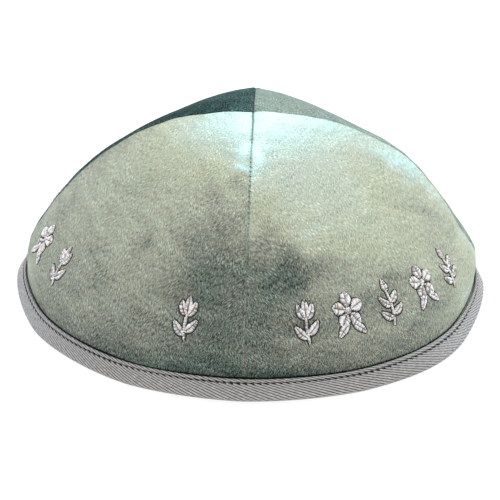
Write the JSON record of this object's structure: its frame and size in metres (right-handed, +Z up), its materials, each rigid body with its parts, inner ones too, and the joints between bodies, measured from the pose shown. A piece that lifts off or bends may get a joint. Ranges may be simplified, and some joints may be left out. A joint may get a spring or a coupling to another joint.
{
  "type": "kippah skullcap",
  "caption": "Domed four-panel velvet skullcap with a twill ribbon folded over its rim, open underneath for the top of the head.",
  "frame": {"origin": "on the table under the middle of the rim, where the dome's axis meets the surface that the rim rests on", "axes": "+Z up the dome's axis, -Y towards the front seam that faces the viewer, +X to the viewer's right"},
  "size_m": [0.1763, 0.1762, 0.0734],
  "materials": {
    "velvet": "short-pile sage grey velvet with a cool mint sheen",
    "twill_ribbon": "matt grey ribbon with fine slanting ribs",
    "silver_thread": "silver-grey satin stitch",
    "sewing_thread": "dark matt sewing thread"
  },
  "bodies": {
    "root": {"panel_back_right": "velvet", "panel_back_left": "velvet", "panel_front_left": "velvet", "panel_front_right": "velvet", "rim_binding": "twill_ribbon"}
  },
  "joints": []
}
